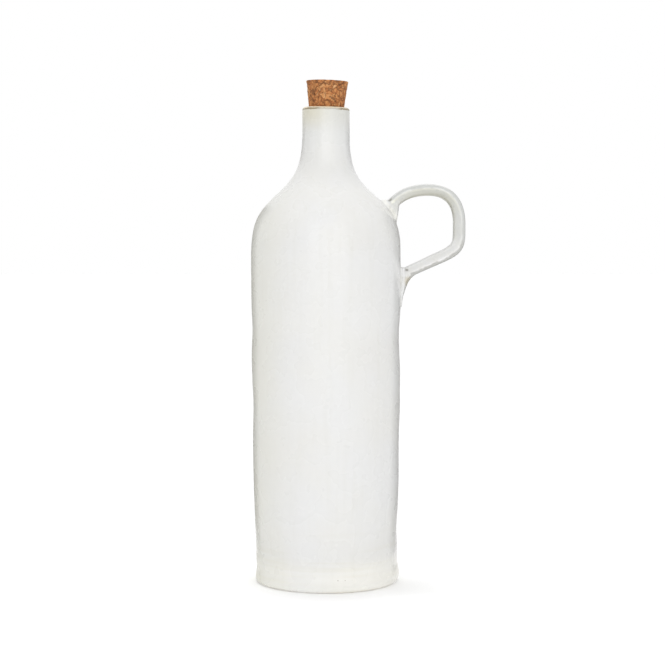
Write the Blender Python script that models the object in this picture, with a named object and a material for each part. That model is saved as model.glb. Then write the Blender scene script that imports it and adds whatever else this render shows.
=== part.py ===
"""A tall stoneware oil bottle with a pulled loop handle and a tapered cork.

The bottle is turned from one outline: heel, foot, belly, shoulder, neck and lip on the outside, then the
bore, the inner shoulder, the inner wall and the floor. The handle is a strap of clay, lofted along a curved
line, with the wads of clay and the two smeared tails that join it to the wall. The cork sits in the lip.

Units are metres, +Z is up, and the origin is the centre of the base, on the axis of the bottle.
The handle is on the +X side.
"""

import math

import bmesh
import bpy
from mathutils import Matrix, Vector

MM = 0.001

# Heights and lengths along the axis of the bottle
BOTTLE_HEIGHT = 301.0 * MM
NECK_LENGTH = 19.6 * MM
SHOULDER_LENGTH = 73.1 * MM
WAIST_HEIGHT = 21.0 * MM

# Radii of the turned outside, and how far up the belly the two throwing waves are
NECK_RADIUS = 15.0 * MM
BELLY_RADIUS = 47.6 * MM
HOLLOW_RADIUS = 46.8 * MM
HOLLOW_SHARE = 0.73
SWELL_RADIUS = 47.0 * MM
SWELL_SHARE = 0.54
WAIST_RADIUS = 45.3 * MM
FOOT_RADIUS = 46.0 * MM

# How far the shoulder's curve keeps the direction of the neck and of the belly
NECK_SWEEP = 41.0 * MM
SHOULDER_SWEEP = 46.0 * MM

# Walls, bore and small radii
BORE_RADIUS = 11.1 * MM
WALL = 4.5 * MM
FLOOR = 6.5 * MM
HEEL_ROUND = 4.0 * MM
COVE_ROUND = 8.0 * MM
LIP_OUTER_ROUND = 1.7 * MM
LIP_INNER_ROUND = 1.0 * MM

# The handle's middle line, measured out from the belly's side and up from the shoulder's lower end
ROOT_UP = 30.2 * MM
CROWN_OUT = 15.5 * MM
CROWN_UP = 41.3 * MM
GRIP_OUT = 36.9 * MM
GRIP_UP = 17.5 * MM
ELBOW_OUT = 26.5 * MM
ELBOW_UP = 0.0 * MM

# The directions in which the strap leaves the shoulder and comes back to the wall, and how full its bends are
ROOT_ANGLE = math.radians(49.0)
ARM_ANGLE = math.radians(24.7)
CROWN_FULLNESS = 0.42
GRIP_FULLNESS = 0.50
ELBOW_FULLNESS = 0.46

# The strap's section: its width lies along Y, and its thickness changes from the root to the arm
STRAP_WIDTH = 14.0 * MM
ROOT_WIDTH = 17.0 * MM
ROOT_THICKNESS = 7.8 * MM
CROWN_THICKNESS = 7.1 * MM
GRIP_THICKNESS = 8.0 * MM
ARM_THICKNESS = 6.7 * MM
STRAP_SQUARENESS = 2.6

# How far the strap's widest place lies towards the outside of the loop, as a share of the thickness
RIDGE_SHARE = 0.15

# The clay that joins the strap to the wall. The upper wad stands a little above the strap's middle line
SEAT_DEPTH = 4.0 * MM
WAD_WIDTH = 21.0 * MM
UPPER_WAD_LENGTH = 10.0 * MM
UPPER_WAD_THICKNESS = 3.0 * MM
UPPER_WAD_RISE = 1.0 * MM
LOWER_WAD_LENGTH = 15.0 * MM
LOWER_WAD_THICKNESS = 3.0 * MM
LOWER_WAD_DROP = 3.0 * MM

# The lower tail: the strap's end, smeared down the wall under the arm. TAIL_TURN is how near its corner the
# arm's direction is kept, and TAIL_CLING is how soon below the corner it lies along the wall
TAIL_OUT = 8.2 * MM
TAIL_BEND = 2.5 * MM
TAIL_DROP = 19.0 * MM
TAIL_WIDTH = 17.0 * MM
TAIL_TIP_WIDTH = 9.0 * MM
TAIL_THICKNESS = 6.6 * MM
TAIL_TIP_THICKNESS = 4.0 * MM
TAIL_TURN = 0.75
TAIL_CLING = 0.2

# The upper tail: clay of the same widths, smeared down the shoulder from inside the strap's upper end
UPPER_TAIL_REACH = 6.2 * MM
UPPER_TAIL_TIP_UP = 20.7 * MM
UPPER_TAIL_FULLNESS = 0.30

# The cork, and how far it leans
CORK_TOP_RADIUS = 13.0 * MM
CORK_BOTTOM_RADIUS = 9.4 * MM
CORK_LENGTH = 29.6 * MM
CORK_EDGE = 0.5 * MM
CORK_LEAN = math.radians(1.8)

# Clearance left between separate pieces
GAP = 0.3 * MM

# How finely round shapes and curves are divided, and from which angle an edge looks sharp
TURNS = 48
ROUND_STEPS = 4
BELLY_STEPS = 5
SHOULDER_STEPS = 16
INNER_BELLY_STEPS = 2
INNER_SHOULDER_STEPS = 12
STRAP_SIDES = 16
CROWN_STEPS = 10
GRIP_STEPS = 10
ELBOW_STEPS = 8
ARM_STEPS = 5
TAIL_STEPS = 10
WAD_TURNS = 20
WAD_RINGS = 12
CORK_EDGE_STEPS = 2
SHARP_ANGLE = math.radians(40.0)

# Heights that follow from the sizes above
SHOULDER_TOP = BOTTLE_HEIGHT - NECK_LENGTH
SHOULDER_FOOT = SHOULDER_TOP - SHOULDER_LENGTH


def clear_scene():
    for thing in list(bpy.data.objects):
        bpy.data.objects.remove(thing)


def finish_of(name, colour, roughness, metallic=0.0):
    """A material with one Principled BSDF."""
    finish = bpy.data.materials.new(name)
    finish.use_nodes = True
    shader = finish.node_tree.nodes["Principled BSDF"]
    shader.inputs["Base Color"].default_value = (*colour, 1.0)
    shader.inputs["Roughness"].default_value = roughness
    shader.inputs["Metallic"].default_value = metallic
    finish.diffuse_color = (*colour, 1.0)
    return finish


def new_object(name, bm, finish=None):
    """Puts the bmesh in the scene as a smooth-shaded object whose faces point outwards."""
    bmesh.ops.remove_doubles(bm, verts=bm.verts, dist=0.001 * MM)
    bmesh.ops.recalc_face_normals(bm, faces=bm.faces)
    mesh = bpy.data.meshes.new(name)
    bm.to_mesh(mesh)
    bm.free()
    mesh.shade_smooth()
    mesh.set_sharp_from_angle(angle=SHARP_ANGLE)
    if finish:
        mesh.materials.append(finish)
    thing = bpy.data.objects.new(name, mesh)
    bpy.context.scene.collection.objects.link(thing)
    return thing


def as_helper(thing):
    """Marks an object as a cutter or a filler, which isn't a piece of the bottle."""
    thing.hide_render = True
    thing.display_type = "WIRE"
    return thing


def combine(thing, other, operation):
    """Adds a Boolean that joins the other object to this one, or cuts it away."""
    boolean = thing.modifiers.new(f"{operation}_{other.name}", "BOOLEAN")
    boolean.operation = operation
    boolean.solver = "EXACT"
    boolean.object = other


def polar(radius, degrees):
    """A step of that length at that angle, in the plane of the outlines."""
    angle = math.radians(degrees)
    return Vector((radius * math.cos(angle), radius * math.sin(angle)))


def arc(centre, radius, start, end, steps):
    """Points on an arc from the start angle to the end angle, in degrees."""
    return [centre + polar(radius, start + (end - start) * i / steps) for i in range(steps + 1)]


def bezier(first, first_pull, last_pull, last, steps):
    """Points on the cubic curve that leaves first towards first_pull and comes to last from last_pull."""
    points = []
    for i in range(steps + 1):
        t = i / steps
        s = 1.0 - t
        near = s**3 * first + 3.0 * s**2 * t * first_pull
        far = 3.0 * s * t**2 * last_pull + t**3 * last
        points.append(near + far)
    return points


def bend(first, leaving, last, arriving, fullness, steps):
    """A curve between two points with given directions. A larger fullness makes it squarer."""
    reach = fullness * (last - first).length
    return bezier(first, first + reach * leaving, last - reach * arriving, last, steps)


def through(stations, steps):
    """A smooth curve through all the stations."""
    padded = [stations[0], *stations, stations[-1]]
    points = [stations[0]]
    for before, here, after, beyond in zip(padded, padded[1:], padded[2:], padded[3:]):
        leave = here + (after - before) / 6.0
        reach = after - (beyond - here) / 6.0
        points += bezier(here, leave, reach, after, steps)[1:]
    return points


def offset(points, distances):
    """The outline moved square to itself, to the right of the way that it runs."""
    moved = []
    for i, point in enumerate(points):
        ahead = points[min(i + 1, len(points) - 1)]
        behind = points[max(i - 1, 0)]
        along = (ahead - behind).normalized()
        moved.append(point + distances[i] * Vector((along.y, -along.x)))
    return moved


def belly_height(share):
    """The height at a share of the way from the waist to the shoulder."""
    return WAIST_HEIGHT + share * (SHOULDER_FOOT - WAIST_HEIGHT)


def belly_line(steps):
    """The outer belly, from the foot up to the shoulder."""
    stations = [
        Vector((FOOT_RADIUS, HEEL_ROUND)),
        Vector((WAIST_RADIUS, WAIST_HEIGHT)),
        Vector((SWELL_RADIUS, belly_height(SWELL_SHARE))),
        Vector((HOLLOW_RADIUS, belly_height(HOLLOW_SHARE))),
        Vector((BELLY_RADIUS, SHOULDER_FOOT)),
    ]
    return through(stations, steps)


def shoulder_line(steps):
    """The outer shoulder, from the belly up to the neck."""
    low = Vector((BELLY_RADIUS, SHOULDER_FOOT))
    high = Vector((NECK_RADIUS, SHOULDER_TOP))
    low_pull = low + Vector((0.0, SHOULDER_SWEEP))
    high_pull = high - Vector((0.0, NECK_SWEEP))
    return bezier(low, low_pull, high_pull, high, steps)


def outside_line():
    """The outer outline from the base up to the lip's rounding."""
    heel = arc(Vector((FOOT_RADIUS - HEEL_ROUND, HEEL_ROUND)), HEEL_ROUND, -90.0, 0.0, ROUND_STEPS)
    neck_top = Vector((NECK_RADIUS, BOTTLE_HEIGHT - LIP_OUTER_ROUND))
    return [*heel, *belly_line(BELLY_STEPS)[1:], *shoulder_line(SHOULDER_STEPS)[1:], neck_top]


def lip_line():
    """The rounded lip, from the outside over the top and into the bore."""
    outer = Vector((NECK_RADIUS - LIP_OUTER_ROUND, BOTTLE_HEIGHT - LIP_OUTER_ROUND))
    inner = Vector((BORE_RADIUS + LIP_INNER_ROUND, BOTTLE_HEIGHT - LIP_INNER_ROUND))
    over = arc(outer, LIP_OUTER_ROUND, 0.0, 90.0, ROUND_STEPS)
    into = arc(inner, LIP_INNER_ROUND, 90.0, 180.0, ROUND_STEPS)
    return [*over[1:], *into]


def inside_line():
    """The inner outline, from the bore down to the floor's centre."""
    steps = INNER_SHOULDER_STEPS
    neck_wall = NECK_RADIUS - BORE_RADIUS
    walls = [WALL + (neck_wall - WALL) * i / steps for i in range(steps + 1)]
    shoulder = offset(shoulder_line(steps), [-wall for wall in walls])
    cove_centre = Vector((WAIST_RADIUS - WALL - COVE_ROUND, FLOOR + COVE_ROUND))
    outer_belly = belly_line(INNER_BELLY_STEPS)
    belly = [point - Vector((WALL, 0.0)) for point in outer_belly if point.y > cove_centre.y]
    cove = arc(cove_centre, COVE_ROUND, 0.0, -90.0, ROUND_STEPS)
    return [*reversed(shoulder), *reversed(belly[:-1]), *cove, Vector((0.0, FLOOR))]


def turned(outline):
    """Spins an outline that starts and ends on the axis into a closed shape."""
    bm = bmesh.new()
    chain = [bm.verts.new((point.x, 0.0, point.y)) for point in outline]
    edges = [bm.edges.new(pair) for pair in zip(chain, chain[1:])]
    bmesh.ops.spin(
        bm,
        geom=[*chain, *edges],
        cent=(0.0, 0.0, 0.0),
        axis=(0.0, 0.0, 1.0),
        angle=math.tau,
        steps=TURNS,
        use_merge=True,
    )
    return bm


def build_bottle(glaze):
    outline = [Vector((0.0, 0.0)), *outside_line(), *lip_line(), *inside_line()]
    return new_object("bottle_body", turned(outline), glaze)


def wall_clearance():
    """A cutter: the bottle's outside grown by the gap, so that what joins the wall fits it."""
    outside = outside_line()
    grown = offset(outside, [GAP] * len(outside))
    outline = [Vector((0.0, grown[0].y)), *grown, Vector((0.0, grown[-1].y))]
    return as_helper(new_object("wall_clearance", turned(outline)))


def wall_radius(height):
    """The outer radius of the bottle at a height."""
    line = outside_line()
    for low, high in zip(line, line[1:]):
        if low.y <= height <= high.y:
            return low.x + (high.x - low.x) * (height - low.y) / (high.y - low.y)
    return NECK_RADIUS


def at_shoulder_foot(out, up):
    """A point measured out from the belly's side and up from the shoulder's lower end."""
    return Vector((BELLY_RADIUS + out, SHOULDER_FOOT + up))


def root_direction():
    """The direction in which the strap leaves the shoulder."""
    return Vector((math.cos(ROOT_ANGLE), math.sin(ROOT_ANGLE)))


def root_point(reach):
    """The middle of the strap's start, at a distance from the wall along its direction."""
    height = SHOULDER_FOOT + ROOT_UP
    return Vector((wall_radius(height), height)) + reach * root_direction()


def arm_point(out):
    """The middle of the lower arm, at a distance out from the belly's side."""
    fall = (ELBOW_OUT - out) * math.tan(ARM_ANGLE)
    return at_shoulder_foot(out, ELBOW_UP - fall)


def strap_line():
    """The strap's middle line: out of the shoulder, over the crown, down the grip and back to the wall."""
    falling = Vector((-math.cos(ARM_ANGLE), -math.sin(ARM_ANGLE)))
    level = Vector((1.0, 0.0))
    down = Vector((0.0, -1.0))
    root = root_point(-SEAT_DEPTH)
    crown = at_shoulder_foot(CROWN_OUT, CROWN_UP)
    grip = at_shoulder_foot(GRIP_OUT, GRIP_UP)
    elbow = arm_point(ELBOW_OUT)
    over = bend(root, root_direction(), crown, level, CROWN_FULLNESS, CROWN_STEPS)
    side = bend(crown, level, grip, down, GRIP_FULLNESS, GRIP_STEPS)
    turn = bend(grip, down, elbow, falling, ELBOW_FULLNESS, ELBOW_STEPS)
    end = arm_point(-SEAT_DEPTH)
    arm = [elbow.lerp(end, i / ARM_STEPS) for i in range(ARM_STEPS + 1)]
    return [*over, *side[1:], *turn[1:], *arm[1:]]


def strap_ring(bm, point, along, width, thickness):
    """One ring of the loft, square to the middle line: a flattened oval, widest towards the outside."""
    across = Vector((-along.y, along.x))
    power = 2.0 / STRAP_SQUARENESS
    ring = []
    for i in range(STRAP_SIDES):
        angle = math.tau * (i + 0.5) / STRAP_SIDES
        side = math.copysign(abs(math.cos(angle)) ** power, math.cos(angle)) * width / 2.0
        lift = math.copysign(abs(math.sin(angle)) ** power, math.sin(angle)) * thickness / 2.0
        lift += RIDGE_SHARE * thickness * math.cos(angle) ** 2
        place = point + lift * across
        ring.append(bm.verts.new((place.x, side, place.y)))
    return ring


def lofted(line, widths, thicknesses):
    """A strap along the line, closed at both ends, whose width and thickness ease along it."""
    bm = bmesh.new()
    rings = []
    for i, point in enumerate(line):
        along = (line[min(i + 1, len(line) - 1)] - line[max(i - 1, 0)]).normalized()
        share = i / (len(line) - 1)
        rings.append(strap_ring(bm, point, along, eased(widths, share), eased(thicknesses, share)))
    for near, far in zip(rings, rings[1:]):
        for i in range(STRAP_SIDES):
            j = (i + 1) % STRAP_SIDES
            bm.faces.new((near[i], near[j], far[j], far[i]))
    bm.faces.new(rings[0])
    bm.faces.new(rings[-1])
    return bm


def eased(values, share):
    """The value at a share of the way along evenly placed values, easing from each to the next."""
    place = share * (len(values) - 1)
    low = min(int(place), len(values) - 2)
    rest = place - low
    return values[low] + (values[low + 1] - values[low]) * rest * rest * (3.0 - 2.0 * rest)


def strap():
    widths = [ROOT_WIDTH, STRAP_WIDTH, STRAP_WIDTH, STRAP_WIDTH]
    thicknesses = [ROOT_THICKNESS, CROWN_THICKNESS, GRIP_THICKNESS, ARM_THICKNESS]
    return lofted(strap_line(), widths, thicknesses)


def smeared(name, line):
    """A filler: clay smeared along a line down the wall, thin at both ends and narrow at the tip."""
    widths = [STRAP_WIDTH, TAIL_WIDTH, TAIL_TIP_WIDTH]
    thicknesses = [TAIL_TIP_THICKNESS, TAIL_THICKNESS, TAIL_TIP_THICKNESS]
    return as_helper(new_object(name, lofted(line, widths, thicknesses)))


def tail_tip(height):
    """The tip of a tail, whose outer face runs out into the wall."""
    return Vector((wall_radius(height) - TAIL_TIP_THICKNESS / 2.0, height))


def upper_tail():
    """From inside the strap's upper end down the shoulder."""
    down = Vector((0.0, -1.0))
    tip = tail_tip(SHOULDER_FOOT + UPPER_TAIL_TIP_UP)
    line = bend(root_point(UPPER_TAIL_REACH), down, tip, down, UPPER_TAIL_FULLNESS, TAIL_STEPS)
    return smeared("upper_tail", line)


def lower_tail():
    """From inside the arm, round the corner under it and down the belly."""
    start = arm_point(TAIL_OUT)
    bend_height = arm_point(0.0).y - TAIL_BEND
    corner = Vector((wall_radius(bend_height), bend_height))
    tip = tail_tip(arm_point(0.0).y - TAIL_DROP)
    turning = start.lerp(corner, TAIL_TURN)
    clinging = corner.lerp(tip, TAIL_CLING)
    return smeared("lower_tail", bezier(start, turning, clinging, tip, TAIL_STEPS))


def wad(name, height, length, thickness):
    """A filler: a flat lump of clay pressed on the wall at a height, lying along the wall's slope."""
    bm = bmesh.new()
    bmesh.ops.create_uvsphere(bm, u_segments=WAD_TURNS, v_segments=WAD_RINGS, radius=1.0)
    size = Matrix.Diagonal((thickness, WAD_WIDTH / 2.0, length / 2.0, 1.0))
    rise = length / 2.0
    run = wall_radius(height + rise / 2.0) - wall_radius(height - rise / 2.0)
    turn = Matrix.Rotation(math.atan2(run, rise), 4, "Y")
    place = Matrix.Translation((wall_radius(height), 0.0, height))
    bmesh.ops.transform(bm, matrix=place @ turn @ size, verts=bm.verts)
    return as_helper(new_object(name, bm))


def build_handle(glaze):
    upper_height = SHOULDER_FOOT + ROOT_UP + UPPER_WAD_RISE
    lower_height = arm_point(0.0).y - LOWER_WAD_DROP
    handle = new_object("handle", strap(), glaze)
    combine(handle, upper_tail(), "UNION")
    combine(handle, lower_tail(), "UNION")
    combine(handle, wad("upper_wad", upper_height, UPPER_WAD_LENGTH, UPPER_WAD_THICKNESS), "UNION")
    combine(handle, wad("lower_wad", lower_height, LOWER_WAD_LENGTH, LOWER_WAD_THICKNESS), "UNION")
    combine(handle, wall_clearance(), "DIFFERENCE")
    return handle


def cork_bottom():
    """The height of the cork's lower end, where its side clears the lip's inner rounding by the gap."""
    taper = math.atan2(CORK_TOP_RADIUS - CORK_BOTTOM_RADIUS, CORK_LENGTH)
    round_centre = Vector((BORE_RADIUS + LIP_INNER_ROUND, BOTTLE_HEIGHT - LIP_INNER_ROUND))
    reach = (round_centre.x - CORK_BOTTOM_RADIUS) * math.cos(taper) - LIP_INNER_ROUND - GAP
    return round_centre.y - reach / math.sin(taper)


def build_cork(granules):
    """The cork's origin is on the bottle's axis, where the lip grips it and about which it leans."""
    pivot = BOTTLE_HEIGHT - LIP_INNER_ROUND
    bm = bmesh.new()
    bmesh.ops.create_cone(
        bm,
        cap_ends=True,
        segments=TURNS,
        radius1=CORK_BOTTOM_RADIUS,
        radius2=CORK_TOP_RADIUS,
        depth=CORK_LENGTH,
    )
    rims = [edge for edge in bm.edges if edge.verts[0].co.z * edge.verts[1].co.z > 0.0]
    bmesh.ops.bevel(
        bm,
        geom=rims,
        offset=CORK_EDGE,
        segments=CORK_EDGE_STEPS,
        profile=0.5,
        affect="EDGES",
    )
    middle = cork_bottom() + CORK_LENGTH / 2.0
    bmesh.ops.translate(bm, verts=bm.verts, vec=(0.0, 0.0, middle - pivot))
    cork = new_object("cork_stopper", bm, granules)
    cork.location = (0.0, 0.0, pivot)
    cork.rotation_euler = (0.0, CORK_LEAN, 0.0)
    return cork


def main():
    clear_scene()
    glaze = finish_of("white_glaze", (0.80, 0.79, 0.75), 0.25)
    granules = finish_of("cork", (0.42, 0.21, 0.09), 0.85)
    bottle = build_bottle(glaze)
    handle = build_handle(glaze)
    handle.parent = bottle
    cork = build_cork(granules)
    cork.parent = bottle


main()
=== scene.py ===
# %% [markdown]
# # A stoneware oil bottle
#
# The bottle is thrown on a wheel, glazed white, given a pulled handle and closed with a cork. Its solids
# come with the frame and hold the sizes. This lesson makes the fine surfaces that stand for them, their
# finishes, and the light that shows them. Every length is in metres, and +Z is up.

# %% Load the frame
import math

import bpy
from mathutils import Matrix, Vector, noise
from mathutils.geometry import interpolate_bezier
from mathutils.kdtree import KDTree


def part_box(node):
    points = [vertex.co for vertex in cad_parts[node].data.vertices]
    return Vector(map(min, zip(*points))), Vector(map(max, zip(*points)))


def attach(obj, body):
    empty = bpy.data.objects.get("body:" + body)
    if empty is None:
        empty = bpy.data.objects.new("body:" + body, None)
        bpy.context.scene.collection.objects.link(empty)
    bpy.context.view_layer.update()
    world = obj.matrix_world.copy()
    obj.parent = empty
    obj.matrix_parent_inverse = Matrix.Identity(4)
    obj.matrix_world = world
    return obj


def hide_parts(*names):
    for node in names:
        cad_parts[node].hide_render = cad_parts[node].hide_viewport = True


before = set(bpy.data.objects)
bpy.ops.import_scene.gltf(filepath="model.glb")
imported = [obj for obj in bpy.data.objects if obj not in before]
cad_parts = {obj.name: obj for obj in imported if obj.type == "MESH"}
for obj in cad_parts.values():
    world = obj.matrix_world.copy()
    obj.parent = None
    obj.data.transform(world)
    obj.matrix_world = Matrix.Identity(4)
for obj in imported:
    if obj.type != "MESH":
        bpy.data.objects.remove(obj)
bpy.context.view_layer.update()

MM = 0.001
BODY_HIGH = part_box("bottle_body")[1]
CORK_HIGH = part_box("cork_stopper")[1]
BOTTLE_HEIGHT = BODY_HIGH.z
BELLY_RADIUS = BODY_HIGH.x
print("bottle:", round(BOTTLE_HEIGHT / MM, 1), "mm high,", round(2 * BELLY_RADIUS / MM, 1), "mm across")

# %% [markdown]
# ## Working by hand in code
#
# An operator acts on all that is selected in the active object, just as a key does in the window. So each
# step here first empties the selection, then picks its vertices by their place, then calls the operator.
# These few helpers are the hands of the lesson.

# %% Helpers for selecting


def deselect_objects():
    for thing in bpy.context.selected_objects:
        thing.select_set(False)


def take(thing):
    """Makes one object the active and only selected one, in object mode."""
    if bpy.context.mode != "OBJECT":
        bpy.ops.object.mode_set(mode="OBJECT")
    deselect_objects()
    thing.select_set(True)
    bpy.context.view_layer.objects.active = thing


def edit(thing, picks="VERT"):
    """Enters edit mode with nothing selected."""
    take(thing)
    bpy.ops.object.mode_set(mode="EDIT")
    bpy.ops.mesh.select_mode(type=picks)
    bpy.ops.mesh.select_all(action="DESELECT")


def edit_all(thing, picks="VERT"):
    """Enters edit mode with everything selected."""
    edit(thing, picks)
    bpy.ops.mesh.select_all(action="SELECT")


def pick_vertices(thing, wanted):
    """Enters edit mode with the vertices selected whose place passes the test."""
    edit(thing)
    bpy.ops.object.mode_set(mode="OBJECT")
    for vertex in thing.data.vertices:
        vertex.select = wanted(vertex.co)
    bpy.ops.object.mode_set(mode="EDIT")


def leave():
    bpy.ops.object.mode_set(mode="OBJECT")


# %% Helpers for finishing a piece


def name_active(name):
    thing = bpy.context.active_object
    thing.name = name
    thing.data.name = name
    return thing


def close_seams(thing):
    """Merges doubled vertices and points every face outwards."""
    edit_all(thing)
    bpy.ops.mesh.remove_doubles(threshold=0.002 * MM)
    bpy.ops.mesh.normals_make_consistent(inside=False)
    leave()


def apply(thing, kind, **settings):
    """Adds a modifier, sets it and applies it."""
    take(thing)
    modifier = thing.modifiers.new(kind.lower(), kind)
    for setting, value in settings.items():
        setattr(modifier, setting, value)
    bpy.ops.object.modifier_apply(modifier=modifier.name)


def remember(thing, name, values):
    """Stores one number per vertex, for the finish to read later."""
    thing.data.attributes.new(name, "FLOAT", "POINT").data.foreach_set("value", values)


def report(thing):
    size = thing.dimensions / MM
    triangles = sum(len(face.vertices) - 2 for face in thing.data.polygons)
    print(f"{thing.name}: {size.x:.1f} x {size.y:.1f} x {size.z:.1f} mm, {triangles} triangles")


# %% [markdown]
# ## The outline of the pot
#
# A potter pulls the clay up in one line: a heel, a slightly waisted belly, a full shoulder and a narrow
# neck. Only a few places fix that line. Between them it bends smoothly, so the outline is a chain of Bezier
# stretches, and each place is a radius and a height.

# %% The outside of the pot
HEEL_RADIUS = 45.9 * MM
HEEL_HEIGHT = 4.0 * MM
NECK_RADIUS = 15.0 * MM
NECK_LENGTH = 19.6 * MM
SHOULDER_LENGTH = 73.1 * MM
SHOULDER_TOP = BOTTLE_HEIGHT - NECK_LENGTH
SHOULDER_FOOT = SHOULDER_TOP - SHOULDER_LENGTH
NECK_SWEEP = 41.0 * MM
SHOULDER_SWEEP = 46.0 * MM


def place(radius, height):
    """A point of the outline: its radius runs along X."""
    return Vector((radius, 0.0, height))


BELLY_SHAPE = [
    (45.60, 7.5), (45.05, 11.0), (45.10, 17.0), (45.20, 30.0), (45.80, 47.0),
    (46.55, 75.0), (46.70, 108.0), (47.10, 134.0), (46.65, 158.0), (47.40, 177.0),
]
BELLY_PLACES = [
    place(HEEL_RADIUS, HEEL_HEIGHT),
    *(place(radius * MM, height * MM) for radius, height in BELLY_SHAPE),
    place(BELLY_RADIUS, SHOULDER_FOOT),
]
print("belly:", len(BELLY_PLACES), "places, shoulder from", round(SHOULDER_FOOT / MM, 1), "mm up")

# %% Curves through the places


def through(places, steps):
    """Points of a smooth curve through all the places."""
    padded = [places[0], *places, places[-1]]
    points = [places[0]]
    for before, here, after, beyond in zip(padded, padded[1:], padded[2:], padded[3:]):
        leave_to = here + (after - before) / 6.0
        reach_from = after - (beyond - here) / 6.0
        points += interpolate_bezier(here, leave_to, reach_from, after, steps + 1)[1:]
    return points


def arc(centre, radius, start, end, steps):
    """Points on an arc between two angles in degrees."""
    points = []
    for i in range(steps + 1):
        angle = math.radians(start + (end - start) * i / steps)
        points.append(centre + place(radius * math.cos(angle), radius * math.sin(angle)))
    return points


def belly_line(steps):
    return through(BELLY_PLACES, steps)


def shoulder_line():
    low = place(BELLY_RADIUS, SHOULDER_FOOT)
    high = place(NECK_RADIUS, SHOULDER_TOP)
    low_pull = low + place(0.0, SHOULDER_SWEEP)
    high_pull = high - place(0.0, NECK_SWEEP)
    return interpolate_bezier(low, low_pull, high_pull, high, 41)


def heel_line():
    centre = place(HEEL_RADIUS - HEEL_HEIGHT, HEEL_HEIGHT)
    return arc(centre, HEEL_HEIGHT, -90.0, 0.0, 10)


print("shoulder:", len(shoulder_line()), "points between two places")

# %% [markdown]
# ## The lip, the inside and the base
#
# The lip is compressed with a strip of leather, so it is rounded on both sides. Inside, the wall follows the
# outside at an even thickness down to a floor with a rounded corner. The base is left as the turning tool
# leaves it: shallow rings, a few hundredths of a millimetre deep.

# %% The neck and the lip
LIP_OUTER_ROUND = 1.9 * MM
LIP_INNER_ROUND = 1.0 * MM
BORE_RADIUS = 11.1 * MM
NECK_STEPS = 8


def neck_line():
    """The outer neck above the shoulder, up to the lip's rounding."""
    top = BOTTLE_HEIGHT - LIP_OUTER_ROUND
    rise = (top - SHOULDER_TOP) / NECK_STEPS
    return [place(NECK_RADIUS, SHOULDER_TOP + rise * i) for i in range(NECK_STEPS + 1)]


def lip_outer_line():
    centre = place(NECK_RADIUS - LIP_OUTER_ROUND, BOTTLE_HEIGHT - LIP_OUTER_ROUND)
    return arc(centre, LIP_OUTER_ROUND, 0.0, 90.0, 10)


def lip_inner_line():
    centre = place(BORE_RADIUS + LIP_INNER_ROUND, BOTTLE_HEIGHT - LIP_INNER_ROUND)
    return arc(centre, LIP_INNER_ROUND, 90.0, 180.0, 6)


print("lip:", len(lip_outer_line()), "points outside,", len(lip_inner_line()), "inside")

# %% The inside and the base
WALL = 4.5 * MM
FLOOR = 6.5 * MM
COVE_ROUND = 8.0 * MM
BASE_RINGS = 11
BASE_RING_DEPTH = 0.12 * MM


def moved_in(points, distances):
    """The outline moved square to itself, towards the axis."""
    moved = []
    for i, point in enumerate(points):
        along = (points[min(i + 1, len(points) - 1)] - points[max(i - 1, 0)]).normalized()
        moved.append(point + distances[i] * Vector((-along.z, 0.0, along.x)))
    return moved


def inside_line():
    shoulder = shoulder_line()
    last = len(shoulder) - 1
    neck_wall = NECK_RADIUS - BORE_RADIUS
    walls = [WALL + (neck_wall - WALL) * i / last for i in range(last + 1)]
    cove_centre = place(BELLY_PLACES[2].x - WALL - COVE_ROUND, FLOOR + COVE_ROUND)
    belly = [point - place(WALL, 0.0) for point in belly_line(3) if point.z > cove_centre.z + WALL]
    cove = arc(cove_centre, COVE_ROUND, 0.0, -90.0, 8)
    return [*reversed(moved_in(shoulder, walls)), *reversed(belly[:-1]), *cove, place(0.0, FLOOR)]


def base_line():
    """From the axis out to the heel, over the turned rings."""
    edge = HEEL_RADIUS - HEEL_HEIGHT
    count = 4 * BASE_RINGS
    points = []
    for i in range(count):
        lift = BASE_RING_DEPTH * math.sin(math.pi * i / 4.0) ** 2
        points.append(place(edge * i / count, lift))
    return points


print("inside:", len(inside_line()), "points, base:", BASE_RINGS, "rings")

# %% Join the outline and measure it
OUTSIDE = [*heel_line(), *belly_line(9)[1:], *shoulder_line()[1:], *neck_line()[1:]]


def wall_radius(height):
    """The outer radius of the pot at a height."""
    for low, high in zip(OUTSIDE, OUTSIDE[1:]):
        if low.z <= height <= high.z:
            return low.x + (high.x - low.x) * (height - low.z) / (high.z - low.z)
    return NECK_RADIUS


half_way = wall_radius(BOTTLE_HEIGHT / 2.0)
print("outline:", len(OUTSIDE), "points outside, radius at half height", round(half_way / MM, 2), "mm")

# %% [markdown]
# ## Turn the pot
#
# Throwing is a turning movement, and Blender's Spin is the same: the outline is drawn once, by extruding one
# vertex from point to point, and then swept round the axis. A cylinder that is scaled ring by ring would
# give the same form, but the outline is easier to read and to change. Before the spin each point remembers
# its height, so that the glaze still knows the lip and the foot when the pot is no longer quite true.

# %% Draw and spin
TURNS = 180


def draw_chain(name, points):
    """A chain of edges: a plane merged to one vertex, then extruded from point to point."""
    deselect_objects()
    bpy.ops.mesh.primitive_plane_add(size=MM)
    chain = name_active(name)
    edit_all(chain)
    bpy.ops.mesh.merge(type="CENTER")
    bpy.ops.transform.translate(value=points[0])
    for here, after in zip(points, points[1:]):
        bpy.ops.mesh.extrude_region_move(TRANSFORM_OT_translate={"value": after - here})
    leave()
    return chain


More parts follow.
